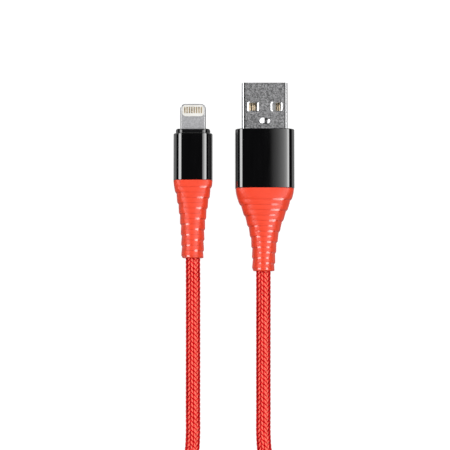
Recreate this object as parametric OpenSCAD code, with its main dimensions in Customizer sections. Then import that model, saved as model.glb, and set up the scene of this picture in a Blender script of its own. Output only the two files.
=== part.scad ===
// Charging cable: a USB-A plug and a reversible phone plug on one braided cord.
// Both plugs lie flat on z = 0, side by side, and point along +Y. The spare length of
// the cord is folded into a flat hank behind them and held by a woven strap.

/* [Layout] */
// Distance between the two plug axes
plug_pitch = 18.7; // [18:0.1:20]
// How far the phone plug's tip lies behind the USB plug's tip
phone_setback = 5.25; // [5:0.05:6]

/* [USB plug] */
// Width of the steel shell
shell_w = 12; // [11.9:0.05:12.1]
// Height of the steel shell
shell_t = 4.5; // [4.4:0.05:4.6]
// Sheet thickness of the steel shell
shell_wall = 0.3; // [0.25:0.05:0.35]
// Length of shell in front of the housing
shell_out = 12; // [11.8:0.1:12.4]
// Width of the USB housing
usb_body_w = 15.4; // [15:0.1:16]
// Thickness of the USB housing
usb_body_t = 7.6; // [7.4:0.1:8]
// Length of the USB housing
usb_body_len = 15.5; // [15:0.1:17]
// Length of the USB boot
usb_boot_len = 21.5; // [21:0.1:23]

/* [Phone plug] */
// Width of the metal tip
tip_w = 6.7; // [6.6:0.05:6.8]
// Thickness of the metal tip
tip_t = 1.5; // [1.45:0.05:1.6]
// Length of tip in front of the collar
tip_out = 6.7; // [6.5:0.1:6.8]
// Width of the phone plug's housing
phone_body_w = 10.2; // [10:0.1:11]
// Thickness of the phone plug's housing
phone_body_t = 6; // [5.9:0.1:6.5]
// Length of the phone plug's housing
phone_body_len = 12.3; // [11.8:0.1:13]
// How far the collar stands in front of the housing
collar_out = 1.1; // [0.9:0.1:1.3]
// Length of the phone plug's boot
phone_boot_len = 20.25; // [20:0.05:22]

/* [Boots] */
// Diameter of each boot where the cord leaves it
boot_end_d = 5.9; // [5.7:0.1:6.1]
// Number of grooves in each boot
groove_count = 13; // [9:1:13]
// Distance from one groove to the next, on alternate sides
groove_pitch = 1.38; // [1.3:0.02:1.4]
// Depth of a groove
groove_depth = 0.3; // [0.2:0.05:0.4]

/* [Cord] */
// Diameter of the braided cord
cord_d = 3.65; // [3.5:0.05:3.65]
// Radius of the outermost fold of the hank, at the cord's centre
fold_r = 14.7; // [14.5:0.1:15]
// Straight distance between the centres of the hank's two ends
hank_run = 58; // [55:1:62]
// Thickness of the strap round the hank
strap_t = 0.9; // [0.7:0.1:1]
// Width of the strap round the hank
strap_w = 12; // [10:1:14]

/* [Hidden] */
$fn = 48;

// Colours
nickel = [0.62, 0.62, 0.6];
gold = [0.85, 0.62, 0.28];
white_plastic = [0.93, 0.93, 0.9];
cream_plastic = [0.93, 0.88, 0.78];
gloss_black = [0.04, 0.04, 0.05];
coral_rubber = [1, 0.36, 0.27];
red_braid = [0.9, 0.16, 0.14];
solder_grey = [0.72, 0.73, 0.75];
board_green = [0.1, 0.35, 0.22];
chip_black = [0.1, 0.1, 0.11];
strap_grey = [0.16, 0.16, 0.17];

// Small clearance cut past a face, so that a hole opens cleanly
past = 1;

// Where the plugs lie: their outermost sides and ends are centred on the origin
layout_w = usb_body_w / 2 + plug_pitch + phone_body_w / 2;
usb_x = layout_w / 2 - usb_body_w / 2;
phone_x = phone_body_w / 2 - layout_w / 2;
usb_z = usb_body_t / 2;
phone_z = phone_body_t / 2;
usb_tip_y = (shell_out + usb_body_len + usb_boot_len) / 2;
usb_front_y = usb_tip_y - shell_out;
usb_seam_y = usb_front_y - usb_body_len;
usb_exit_y = usb_seam_y - usb_boot_len;
phone_tip_y = usb_tip_y - phone_setback;
phone_nose_y = phone_tip_y - tip_out;
phone_front_y = phone_nose_y - collar_out;
phone_seam_y = phone_front_y - phone_body_len;
phone_exit_y = phone_seam_y - phone_boot_len;

// USB shell, its windows and its stamped oval
shell_in = 6.5;
shell_r = 0.7;
shell_rear_y = usb_front_y - shell_in;
window_w = 2.6;
window_l = 2.1;
window_x = 3.05;
window_back = 6.3;
oval_w = 2.5;
oval_l = 1.7;
oval_depth = 0.2;
oval_ahead = 2;

// USB insulator and contacts
tongue_t = 1.95;
tongue_back = 0.6;
block_ahead = 1.4;
contact_ws = [1.9, 1, 1, 1.3];
contact_t = 0.3;
contact_proud = 0.08;
contact_xs = [-3.1, -1, 1, 3.55];
contact_backs = [1.5, 2.4, 2.4, 1.5];
usb_tail = 2.2;
usb_tail_y = shell_rear_y - usb_tail;

// Sleeves, collars and moulds
usb_wall = 0.8;
usb_corner_r = 2.4;
phone_wall = 0.6;
phone_corner_r = 2.7;
edge_r = 0.5;
collar_inset = 0.2;
usb_collar_len = 1.2;
phone_collar_in = 1.2;
usb_hole_w = usb_body_w - 2 * usb_wall;
usb_hole_t = usb_body_t - 2 * usb_wall;
phone_hole_w = phone_body_w - 2 * phone_wall;
phone_hole_t = phone_body_t - 2 * phone_wall;

// Phone tip: the metal frame, its windows and the contact rows
tip_corner_r = 1.3;
frame_in = 3.8;
frame_rear_y = phone_nose_y - frame_in;
panel_w = 5.7;
panel_l = 2.95;
panel_back = 0.3;
panel_r = 0.9;
panel_recess = 0.04;
pin_count = 8;
pin_pitch = 0.62;
pin_w = 0.38;
pin_l = 1.64;
pin_back = 0.8;

// Circuit board, its chips and shield
board_t = 0.6;
board_nose_w = 5.2;
board_w = 7;
board_back = 1.6;
board_shoulder_y = frame_rear_y - 0.2;
board_rear_y = phone_seam_y + 4.4;
chip_sizes = [[2.6, 2.2, 0.8], [1.8, 1.5, 0.6]];
chip_places = [[-1.4, 1.5, 1], [1.5, 2.1, -1]];
shield_w = 7.6;
shield_t = 3.2;
shield_wall = 0.2;
shield_len = 3.2;
shield_front_y = board_shoulder_y - 0.1;
shield_rear_y = shield_front_y - shield_len;

// Wires, solder, and the crimped end of the cord in each housing
wire_d = 0.9;
wire_spread = 0.65;
solder_d = 1.1;
usb_core_y = usb_seam_y + 4;
phone_core_y = phone_seam_y + 2.9;
phone_pad_l = 0.8;
phone_pad_x = 1.7;
crimp_d = 4.6;
usb_crimp_len = 3.2;
phone_crimp_len = 2.2;
crimp_gap = 0.3;

// Boots: [half width, half thickness at the seam, length, flare length, flare power, first groove]
boot_inset = 0.1;
usb_boot_shape = [usb_body_w / 2 - boot_inset, usb_body_t / 2 - boot_inset, usb_boot_len, 9.2, 1.75, 3];
phone_boot_shape =
    [phone_body_w / 2 - boot_inset, phone_body_t / 2 - boot_inset, phone_boot_len, 7.9, 1.5, 1.85];
boot_sides = 24;
groove_lip = 0.12;
groove_reach = 0.55;
groove_fade = 0.35;

// Hank: two lanes side by side on each side, in two layers
lane_pitch = 3.7;
hank_x = -1.45;
hank_top_y = -93;
hank_r = fold_r + cord_d / 2;
hank_t = 2 * cord_d;
waist_half = 2 * lane_pitch + 0.3;
waist_sag = hank_r - waist_half;
waist_r = (pow(hank_run / 2, 2) + pow(waist_sag, 2)) / (2 * waist_sag);
eye_r = fold_r - lane_pitch - cord_d / 2 - 0.6;
strap_y = hank_top_y - hank_run / 2;
strap_r = 2;
strap_lap = 14;

// Routes of the two free leads, from boot to hank, at the cord's centre
cord_sides = 8;
floor_z = cord_d / 2;
top_z = hank_t - floor_z;
usb_route = [
    [usb_x, usb_exit_y, usb_z], [7.97, -29, 3.75], [7.82, -34, 3.4], [7.7, -40, 2.75],
    [7.62, -46, 2.15], [7.6, -52, floor_z], [7.6, -60, floor_z], [7.6, -67, floor_z],
    [8.1, -72, floor_z], [9.4, -77, floor_z], [11.2, -82, floor_z], [12.7, -87, floor_z],
    [hank_x + fold_r, hank_top_y, floor_z]
];
phone_route = [
    [phone_x, phone_exit_y, phone_z], [-10.68, -26, 2.95], [-10.7, -31, 2.7], [-10.7, -37, 2.25],
    [-10.7, -43, 1.9], [-10.7, -50, floor_z], [-10.7, -60, floor_z], [-10.7, -67, floor_z],
    [-11, -72, 1.9], [-12.3, -77, 2.6], [-14.1, -82, 3.9], [-15.6, -87, 5.1],
    [hank_x - fold_r, hank_top_y, top_z]
];

// ---------- Shared shapes ----------

module on_usb_axis() { translate([usb_x, 0, usb_z]) children(); }

module on_phone_axis() { translate([phone_x, 0, phone_z]) children(); }

module rounded_rect(w, h, r) {
    square([w - 2 * r, h], center = true);
    square([w, h - 2 * r], center = true);
    for (sx = [-1, 1], sy = [-1, 1]) translate([sx * (w / 2 - r), sy * (h / 2 - r)]) circle(r);
}

// Bar along Y from y0 up to y1, with its four long edges rounded
module bar(w, t, r, y0, y1) {
    translate([0, y1, 0]) rotate([90, 0, 0]) linear_extrude(y1 - y0) rounded_rect(w, t, r);
}

// Plate with rounded corners in plan, of thickness t about z = 0
module plate(w, t, r, y0, y1) {
    translate([0, (y0 + y1) / 2, -t / 2]) linear_extrude(t) rounded_rect(w, y1 - y0, r);
}

// Bar whose end edges are rounded as well, in plan and from the side
module eased_bar(w, t, r, y0, y1, ease) {
    intersection() {
        bar(w, t, r, y0, y1);
        plate(w, t, ease, y0, y1);
        rotate([0, 90, 0]) plate(t, w, ease, y0, y1);
    }
}

module round_bar(d, y0, y1) {
    translate([0, y1, 0]) rotate([90, 0, 0]) cylinder(h = y1 - y0, d = d);
}

// Box from x centre, y range and z range
module block(x, w, y0, y1, z0, z1) {
    translate([x - w / 2, y0, z0]) cube([w, y1 - y0, z1 - z0]);
}

// Straight wire from a, at the front, to b, with both ends cut square to Y
module wire_run(a, b) {
    run = b - a;
    spare = wire_d;
    intersection() {
        translate(a) rotate([0, acos(run.z / norm(run)), atan2(run.y, run.x)])
            translate([0, 0, -spare]) cylinder(h = norm(run) + 2 * spare, d = wire_d);
        translate([-usb_body_w / 2, b.y, -usb_body_t / 2]) cube([usb_body_w, a.y - b.y, usb_body_t]);
    }
}

// Tube swept along a route: each ring is square to the way between its neighbours
module swept_tube(route, d, sides) {
    count = len(route);
    function heading(i) =
        let (v = i == 0 || i == count - 1 ? [0, -1, 0] : route[i + 1] - route[i - 1]) v / norm(v);
    function across(v) = let (c = cross(v, [0, 0, 1])) c / norm(c);
    function ring(i) =
        let (v = heading(i), side = across(v), up = cross(side, v))
        [for (k = [0:sides - 1]) let (a = (k + 0.5) * 360 / sides)
            route[i] + d / 2 * (cos(a) * side + sin(a) * up)];
    points = [for (i = [0:count - 1]) each ring(i)];
    walls = [for (i = [0:count - 2], k = [0:sides - 1])
        let (n = (k + 1) % sides, p = i * sides, q = p + sides)
        each [[p + k, p + n, q + n], [p + k, q + n, q + k]]];
    near = [for (k = [sides - 1:-1:0]) k];
    far = [for (k = [0:sides - 1]) (count - 1) * sides + k];
    polyhedron(points, concat([near], walls, [far]));
}

// Rubber boot behind y = 0: flared and flat at the housing, round at the cord. Its grooves
// take turns on the right and the left, and each reaches past the middle of the front and back.
module grooved_boot(shape) {
    half_w = shape[0];
    half_t = shape[1];
    length = shape[2];
    first = shape[5];
    end_r = boot_end_d / 2;
    period = 2 * groove_pitch;
    function flare(s) = exp(-pow(s / shape[3], shape[4]));
    function saw(s) = s < 0 || s > groove_count * groove_pitch ? 0 : 1 - (s / period - floor(s / period));
    function reach(c) = min(1, max(0, (c + groove_reach) / groove_fade));
    function cut(s, c) = groove_depth
        * max(reach(c) * saw(s - first), reach(-c) * saw(s - first - groove_pitch));
    function root(v, n) = sign(v) * pow(abs(v), 2 / n);
    function rim(s, a) =
        let (left = flare(s), n = 2 + 4 * left, inset = cut(s, cos(a)))
        [root(cos(a), n) * (end_r + (half_w - end_r) * left - inset), -s,
         root(sin(a), n) * (end_r + (half_t - end_r) * left - inset)];
    stations = [0,
        for (i = [0:groove_count - 1]) let (s = first + i * groove_pitch)
            each [s - groove_lip, s + groove_lip],
        length];
    points = [for (s = stations, k = [0:boot_sides - 1]) rim(s, k * 360 / boot_sides)];
    walls = [for (i = [0:len(stations) - 2], k = [0:boot_sides - 1])
        let (n = (k + 1) % boot_sides, p = i * boot_sides, q = p + boot_sides)
        each [[p + k, q + n, p + n], [p + k, q + k, q + n]]];
    front = [for (k = [0:boot_sides - 1]) k];
    rear = [for (k = [boot_sides - 1:-1:0]) (len(stations) - 1) * boot_sides + k];
    difference() {
        polyhedron(points, concat([front], walls, [rear]));
        round_bar(cord_d, -length - past, past);
    }
}

// ---------- USB plug ----------

module usb_shell() {
    color(nickel) on_usb_axis() difference() {
        bar(shell_w, shell_t, shell_r, shell_rear_y, usb_tip_y);
        bar(shell_w - 2 * shell_wall, shell_t - 2 * shell_wall, shell_r - shell_wall,
            shell_rear_y - past, usb_tip_y + past);
        for (side = [-1, 1])
            block(side * window_x, window_w, usb_tip_y - window_back - window_l / 2,
                usb_tip_y - window_back + window_l / 2, -shell_t, shell_t);
        translate([0, usb_front_y + oval_ahead, shell_t / 2 - oval_depth])
            linear_extrude(past) rounded_rect(oval_w, oval_l, oval_l / 2 - 0.05);
    }
}

module contact_strip(i) {
    block(contact_xs[i], contact_ws[i], usb_tail_y, usb_tip_y - contact_backs[i],
        contact_proud - contact_t, contact_proud);
}

module usb_contact(i) { color(gold) on_usb_axis() contact_strip(i); }

module usb_insulator() {
    w = shell_w - 2 * shell_wall;
    t = shell_t - 2 * shell_wall;
    color(white_plastic) on_usb_axis() difference() {
        intersection() {
            bar(w, t, shell_r - shell_wall, shell_rear_y, usb_tip_y - tongue_back);
            union() {
                block(0, w, shell_rear_y, usb_tip_y, -t / 2, tongue_t - t / 2);
                block(0, w, shell_rear_y, usb_front_y + block_ahead, -t / 2, t / 2);
            }
        }
        for (i = [0:3]) contact_strip(i);
    }
}

module usb_collar() {
    front = usb_front_y - collar_inset;
    color(chip_black) on_usb_axis() difference() {
        bar(usb_hole_w, usb_hole_t, usb_corner_r - usb_wall, front - usb_collar_len, front);
        bar(shell_w, shell_t, shell_r, front - usb_collar_len - past, front + past);
    }
}

module usb_housing() {
    color(gloss_black) on_usb_axis() difference() {
        eased_bar(usb_body_w, usb_body_t, usb_corner_r, usb_seam_y, usb_front_y, edge_r);
        bar(usb_hole_w, usb_hole_t, usb_corner_r - usb_wall, usb_seam_y - past, usb_front_y + past);
    }
}

// Wires cross from the contact tails to the cord: outer ones low, inner ones high
module usb_wire(i) {
    side = sign(contact_xs[i]);
    level = abs(contact_xs[i]) > 2 ? -1 : 1;
    wire_run([contact_xs[i], usb_tail_y, contact_proud + solder_d / 2],
        [side * wire_spread, usb_core_y, level * wire_spread]);
}

module usb_solder_joints() {
    difference() {
        for (x = contact_xs) translate([x, 0, contact_proud + solder_d / 2])
            round_bar(solder_d, usb_tail_y, usb_tail_y + 0.7 * usb_tail);
        for (i = [0:3]) contact_strip(i);
    }
}

module usb_crimp_ring() {
    round_bar(crimp_d, usb_core_y - crimp_gap - usb_crimp_len, usb_core_y - crimp_gap);
}

module usb_core_end() { round_bar(cord_d, usb_exit_y, usb_core_y); }

module usb_inner_mould() {
    color(white_plastic) on_usb_axis() difference() {
        bar(usb_hole_w, usb_hole_t, usb_corner_r - usb_wall, usb_seam_y,
            usb_front_y - collar_inset - usb_collar_len);
        bar(shell_w, shell_t, shell_r, shell_rear_y, usb_front_y);
        for (i = [0:3]) contact_strip(i);
        for (i = [0:3]) usb_wire(i);
        usb_solder_joints();
        usb_crimp_ring();
        usb_core_end();
    }
}

module usb_wire_red() { color("red") on_usb_axis() usb_wire(0); }
module usb_wire_white() { color("white") on_usb_axis() usb_wire(1); }
module usb_wire_green() { color("green") on_usb_axis() usb_wire(2); }
module usb_wire_black() { color("black") on_usb_axis() usb_wire(3); }

module usb_solder() { color(solder_grey) on_usb_axis() usb_solder_joints(); }

module usb_crimp() {
    color(nickel) on_usb_axis() difference() { usb_crimp_ring(); usb_core_end(); }
}

module usb_cord_core() { color(red_braid) on_usb_axis() usb_core_end(); }

module usb_boot() {
    color(coral_rubber) on_usb_axis() translate([0, usb_seam_y, 0]) grooved_boot(usb_boot_shape);
}

// ---------- Phone plug ----------

module tip_solid() {
    intersection() {
        plate(tip_w, tip_t, tip_corner_r, frame_rear_y - tip_corner_r, phone_tip_y);
        bar(tip_w, tip_t, tip_t / 4, frame_rear_y, phone_tip_y);
    }
}

module panel_solid(t) {
    plate(panel_w, t, panel_r, phone_tip_y - panel_back - panel_l, phone_tip_y - panel_back);
}

module board_solid() {
    block(0, board_nose_w, board_shoulder_y, phone_tip_y - board_back, -board_t / 2, board_t / 2);
    block(0, board_w, board_rear_y, board_shoulder_y, -board_t / 2, board_t / 2);
}

module phone_frame() {
    color(nickel) on_phone_axis() difference() {
        tip_solid();
        panel_solid(tip_t + past);
        block(0, board_nose_w, frame_rear_y - past, phone_tip_y - board_back, -board_t / 2, board_t / 2);
    }
}

// One contact: face 1 is the top row and -1 the bottom row, and i counts from the left
module pin(face, i) {
    x = (i - (pin_count + 1) / 2) * pin_pitch;
    far = tip_t / 2 - panel_recess;
    front = phone_tip_y - pin_back;
    block(x, pin_w, front - pin_l, front, min(face * board_t / 2, face * far),
        max(face * board_t / 2, face * far));
}

module phone_contact(face, i) { color(gold) on_phone_axis() pin(face, i); }

module phone_panel() {
    color(cream_plastic) on_phone_axis() difference() {
        panel_solid(tip_t - 2 * panel_recess);
        board_solid();
        for (face = [-1, 1], i = [1:pin_count]) pin(face, i);
    }
}

module phone_board() { color(board_green) on_phone_axis() board_solid(); }

// Chips sit on the board inside the shield, one on each side of it
module phone_chip(i) {
    size = chip_sizes[i];
    place = chip_places[i];
    z = place.z > 0 ? board_t / 2 : -board_t / 2 - size.z;
    color(chip_black) on_phone_axis()
        block(place.x, size.x, shield_front_y - place.y - size.y / 2, shield_front_y - place.y + size.y / 2,
            z, z + size.z);
}

module phone_shield() {
    color(solder_grey) on_phone_axis() difference() {
        bar(shield_w, shield_t, 0.3, shield_rear_y, shield_front_y);
        block(0, shield_w - 2 * shield_wall, shield_rear_y - past, shield_front_y + past,
            shield_wall - shield_t / 2, shield_t / 2 - shield_wall);
    }
}

module phone_collar() {
    color(gloss_black) on_phone_axis() difference() {
        eased_bar(phone_hole_w, phone_hole_t, phone_corner_r - phone_wall,
            phone_front_y - phone_collar_in, phone_nose_y, edge_r);
        tip_solid();
    }
}

module phone_housing() {
    color(gloss_black) on_phone_axis() difference() {
        eased_bar(phone_body_w, phone_body_t, phone_corner_r, phone_seam_y, phone_front_y, edge_r);
        bar(phone_hole_w, phone_hole_t, phone_corner_r - phone_wall,
            phone_seam_y - past, phone_front_y + past);
    }
}

// Two wires land on the board's upper side and two on its lower side
module phone_wire(side, face) {
    wire_run([side * phone_pad_x, board_rear_y, face * (board_t / 2 + solder_d / 2)],
        [side * wire_spread, phone_core_y, face * wire_spread]);
}

module phone_solder_joints() {
    difference() {
        for (side = [-1, 1], face = [-1, 1])
            translate([side * phone_pad_x, 0, face * (board_t / 2 + solder_d / 2 - 0.1)])
                round_bar(solder_d, board_rear_y, board_rear_y + phone_pad_l);
        board_solid();
    }
}

module phone_crimp_ring() {
    round_bar(crimp_d, phone_core_y - crimp_gap - phone_crimp_len, phone_core_y - crimp_gap);
}

module phone_core_end() { round_bar(cord_d, phone_exit_y, phone_core_y); }

module phone_inner_mould() {
    color(white_plastic) on_phone_axis() difference() {
        bar(phone_hole_w, phone_hole_t, phone_corner_r - phone_wall, phone_seam_y,
            phone_front_y - phone_collar_in);
        bar(tip_w, tip_t, tip_t / 4, frame_rear_y, phone_front_y);
        bar(shield_w, shield_t, 0.3, shield_rear_y, shield_front_y);
        board_solid();
        for (side = [-1, 1], face = [-1, 1]) phone_wire(side, face);
        phone_solder_joints();
        phone_crimp_ring();
        phone_core_end();
    }
}

module phone_wire_red() { color("red") on_phone_axis() phone_wire(-1, 1); }
module phone_wire_white() { color("white") on_phone_axis() phone_wire(1, 1); }
module phone_wire_green() { color("green") on_phone_axis() phone_wire(-1, -1); }
module phone_wire_black() { color("black") on_phone_axis() phone_wire(1, -1); }

module phone_solder() { color(solder_grey) on_phone_axis() phone_solder_joints(); }

module phone_crimp() {
    color(nickel) on_phone_axis() difference() { phone_crimp_ring(); phone_core_end(); }
}

module phone_cord_core() { color(red_braid) on_phone_axis() phone_core_end(); }

module phone_boot() {
    color(coral_rubber) on_phone_axis()
        translate([0, phone_seam_y, 0]) grooved_boot(phone_boot_shape);
}

// ---------- Cord ----------

module cord_usb_end() { color(red_braid) swept_tube(usb_route, cord_d, cord_sides); }

module cord_phone_end() { color(red_braid) swept_tube(phone_route, cord_d, cord_sides); }

// Outline of the hank: round ends, sides drawn in to a waist, and an eye in each end loop
module hank_outline() {
    ends = [hank_top_y, hank_top_y - hank_run];
    difference() {
        union() {
            for (y = ends) translate([0, y]) circle(hank_r);
            translate([-hank_r, ends[1]]) square([2 * hank_r, hank_run]);
        }
        for (side = [-1, 1]) translate([side * (waist_half + waist_r), strap_y]) circle(waist_r, $fn = 180);
        for (y = ends) translate([0, y]) circle(eye_r);
    }
}

module strap_hole() {
    translate([0, 0, strap_t + hank_t / 2])
        bar(2 * waist_half, hank_t, strap_r - strap_t, strap_y - strap_w / 2, strap_y + strap_w / 2);
}

module cord_hank() {
    color(red_braid) translate([hank_x, 0, 0]) {
        difference() {
            linear_extrude(hank_t) hank_outline();
            block(0, 4 * waist_half, strap_y - strap_w / 2, strap_y + strap_w / 2, -past, hank_t + past);
        }
        strap_hole();
    }
}

// Strap with its loose end lapped over the top
module cord_tie() {
    w = 2 * (waist_half + strap_t);
    t = hank_t + 2 * strap_t;
    color(strap_grey) translate([hank_x, 0, 0]) {
        difference() {
            translate([0, 0, t / 2]) bar(w, t, strap_r, strap_y - strap_w / 2, strap_y + strap_w / 2);
            strap_hole();
        }
        block(w / 2 - strap_r - strap_lap / 2, strap_lap, strap_y - strap_w / 2, strap_y + strap_w / 2,
            t, t + strap_t);
    }
}

usb_shell();
usb_insulator();
usb_contact(0);  // usb_contact_1
usb_contact(1);  // usb_contact_2
usb_contact(2);  // usb_contact_3
usb_contact(3);  // usb_contact_4
usb_collar();
usb_housing();
usb_inner_mould();
usb_wire_red();
usb_wire_white();
usb_wire_green();
usb_wire_black();
usb_solder();
usb_crimp();
usb_cord_core();
usb_boot();
phone_frame();
phone_panel();
phone_contact(1, 1);  // phone_contact_top_1
phone_contact(1, 2);  // phone_contact_top_2
phone_contact(1, 3);  // phone_contact_top_3
phone_contact(1, 4);  // phone_contact_top_4
phone_contact(1, 5);  // phone_contact_top_5
phone_contact(1, 6);  // phone_contact_top_6
phone_contact(1, 7);  // phone_contact_top_7
phone_contact(1, 8);  // phone_contact_top_8
phone_contact(-1, 1);  // phone_contact_bottom_1
phone_contact(-1, 2);  // phone_contact_bottom_2
phone_contact(-1, 3);  // phone_contact_bottom_3
phone_contact(-1, 4);  // phone_contact_bottom_4
phone_contact(-1, 5);  // phone_contact_bottom_5
phone_contact(-1, 6);  // phone_contact_bottom_6
phone_contact(-1, 7);  // phone_contact_bottom_7
phone_contact(-1, 8);  // phone_contact_bottom_8
phone_board();
phone_chip(0);  // phone_chip_1
phone_chip(1);  // phone_chip_2
phone_shield();
phone_collar();
phone_housing();
phone_inner_mould();
phone_wire_red();
phone_wire_white();
phone_wire_green();
phone_wire_black();
phone_solder();
phone_crimp();
phone_cord_core();
phone_boot();
cord_usb_end();
cord_phone_end();
cord_hank();
cord_tie();
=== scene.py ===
"""Charging cable: a USB plug and a phone plug on a red braided cord, lying on a pale floor.

Lengths in the mesh code are in millimetres, in the part's own frame, and become metres
as each mesh is made. The plugs lie along Y with their tips at +Y, and the floor is z = 0.
"""

import math

import bmesh
import bpy
import numpy as np
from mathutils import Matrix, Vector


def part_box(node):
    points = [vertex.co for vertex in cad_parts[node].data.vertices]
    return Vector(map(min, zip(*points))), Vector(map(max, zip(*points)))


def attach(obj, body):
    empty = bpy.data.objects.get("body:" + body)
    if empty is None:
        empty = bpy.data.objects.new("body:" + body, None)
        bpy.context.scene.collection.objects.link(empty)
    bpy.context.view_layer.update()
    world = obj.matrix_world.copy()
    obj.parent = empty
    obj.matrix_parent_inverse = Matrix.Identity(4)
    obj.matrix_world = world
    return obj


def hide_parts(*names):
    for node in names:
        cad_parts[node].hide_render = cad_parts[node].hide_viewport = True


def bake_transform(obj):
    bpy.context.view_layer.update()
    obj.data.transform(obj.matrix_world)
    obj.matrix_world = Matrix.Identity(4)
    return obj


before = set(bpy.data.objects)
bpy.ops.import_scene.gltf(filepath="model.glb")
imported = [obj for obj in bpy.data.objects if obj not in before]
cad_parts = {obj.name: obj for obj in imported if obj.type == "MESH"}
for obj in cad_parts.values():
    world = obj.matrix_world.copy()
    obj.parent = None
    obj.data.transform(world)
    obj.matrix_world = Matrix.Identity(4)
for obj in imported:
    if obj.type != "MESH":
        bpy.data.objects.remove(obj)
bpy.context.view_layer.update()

MM = 0.001


def box_mm(node):
    """A CAD node's lowest and highest corners, in millimetres."""
    return np.array([list(corner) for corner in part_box(node)], float) / MM


def plug_place(prefix):
    """A plug's axis, housing ends and boot end: (x, z, seam, front, exit)."""
    housing, rubber = box_mm(prefix + "_housing"), box_mm(prefix + "_boot")
    middle = housing.mean(0)
    return middle[0], middle[2], housing[0, 1], housing[1, 1], rubber[0, 1]


# ---------------------------------------------------------------- camera

TARGET = (-2.3, -12.5, 3.8)
DISTANCE = 400.0
TILT = math.radians(3.5)

camera = bpy.data.objects.new("camera", bpy.data.cameras.new("camera"))
camera.data.lens = 123
camera.data.sensor_width = 36
camera.data.clip_start = 0.01
camera.location = (
    TARGET[0] * MM,
    (TARGET[1] - DISTANCE * math.sin(TILT)) * MM,
    (TARGET[2] + DISTANCE * math.cos(TILT)) * MM,
)
camera.rotation_euler = (TILT, 0, 0)
bpy.context.scene.collection.objects.link(camera)
bpy.context.scene.camera = camera
bpy.context.scene.view_settings.view_transform = "Standard"


# ---------------------------------------------------------------- mesh tools


def new_object(name, points, faces, sharp=40):
    """A smooth-shaded mesh from points in millimetres, with its normals outward."""
    mesh = bpy.data.meshes.new(name)
    mesh.from_pydata((np.asarray(points) * MM).tolist(), [], faces)
    work = bmesh.new()
    work.from_mesh(mesh)
    bmesh.ops.recalc_face_normals(work, faces=work.faces)
    work.to_mesh(mesh)
    work.free()
    mesh.shade_smooth()
    mesh.set_sharp_from_angle(angle=math.radians(sharp))
    made = bpy.data.objects.new(name, mesh)
    bpy.context.scene.collection.objects.link(made)
    return made


def ring_faces(rings, around, first=0, wrap=False):
    """The quads between rings of points, numbered from first. wrap joins the last ring to the first."""
    i, k = np.meshgrid(np.arange(rings if wrap else rings - 1), np.arange(around), indexing="ij")
    j, n = (i + 1) % rings, (k + 1) % around
    quads = np.stack([i * around + k, i * around + n, j * around + n, j * around + k], -1)
    return (quads.reshape(-1, 4) + first).tolist()


def loft(name, rings, wrap=False, sharp=40):
    """A mesh through rings of equal size, with flat ends unless it wraps round on itself."""
    rings = np.asarray(rings, float)
    count, around = rings.shape[:2]
    faces = ring_faces(count, around, wrap=wrap)
    if not wrap:
        faces.append(list(range(around)))
        faces.append(list(range((count - 1) * around, count * around)))
    return new_object(name, rings.reshape(-1, 3), faces, sharp)


def smoothstep(x):
    x = np.clip(x, 0, 1)
    return x * x * (3 - 2 * x)


def catmull(points, per):
    """A smooth line through every point of a route, with per steps from one point to the next."""
    p = np.asarray(points, float)
    p = np.vstack([2 * p[0] - p[1], p, 2 * p[-1] - p[-2]])
    t = np.linspace(0, 1, per, endpoint=False)[:, None]
    line = [
        0.5 * (2 * b + (c - a) * t + (2 * a - 5 * b + 4 * c - d) * t**2
               + (3 * b - a - 3 * c + d) * t**3)
        for a, b, c, d in zip(p[:-3], p[1:-2], p[2:-1], p[3:])
    ]
    return np.vstack(line + [p[-2:-1]])


def arc_lengths(line):
    """The distance along a line at each of its points."""
    return np.concatenate([[0], np.cumsum(np.linalg.norm(np.diff(line, axis=0), axis=1))])


def resample(line, stations):
    """Points of a line at the given distances along it."""
    along = arc_lengths(line)
    return np.stack([np.interp(stations, along, line[:, i]) for i in range(3)], -1)


def unit_tangents(line):
    tangents = np.gradient(line, axis=0)
    return tangents / np.linalg.norm(tangents, axis=1)[:, None]


# The stretch without added twist at each end of a line, as a share of the stretch that takes the twist
UNTWISTED = 0.35


def carried_frames(line, first_side, last_side):
    """Two unit vectors across the line at every point, carried along it without twist. Unless last_side
    is None, a twist over the middle of the line brings the first vector to it at the line's end."""
    tangents = unit_tangents(line)
    sides = np.zeros_like(line)
    side = np.asarray(first_side, float)
    for i, tangent in enumerate(tangents):
        side = side - tangent * side.dot(tangent)
        side /= np.linalg.norm(side)
        sides[i] = side
    ups = np.cross(tangents, sides)
    if last_side is not None:
        turn = math.atan2(np.dot(last_side, ups[-1]), np.dot(last_side, sides[-1]))
        share = smoothstep(np.linspace(-UNTWISTED, 1 + UNTWISTED, len(line)))
        angle = (turn * share)[:, None]
        sides, ups = (sides * np.cos(angle) + ups * np.sin(angle),
                      ups * np.cos(angle) - sides * np.sin(angle))
    return sides, ups


# ---------------------------------------------------------------- material tools


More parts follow.
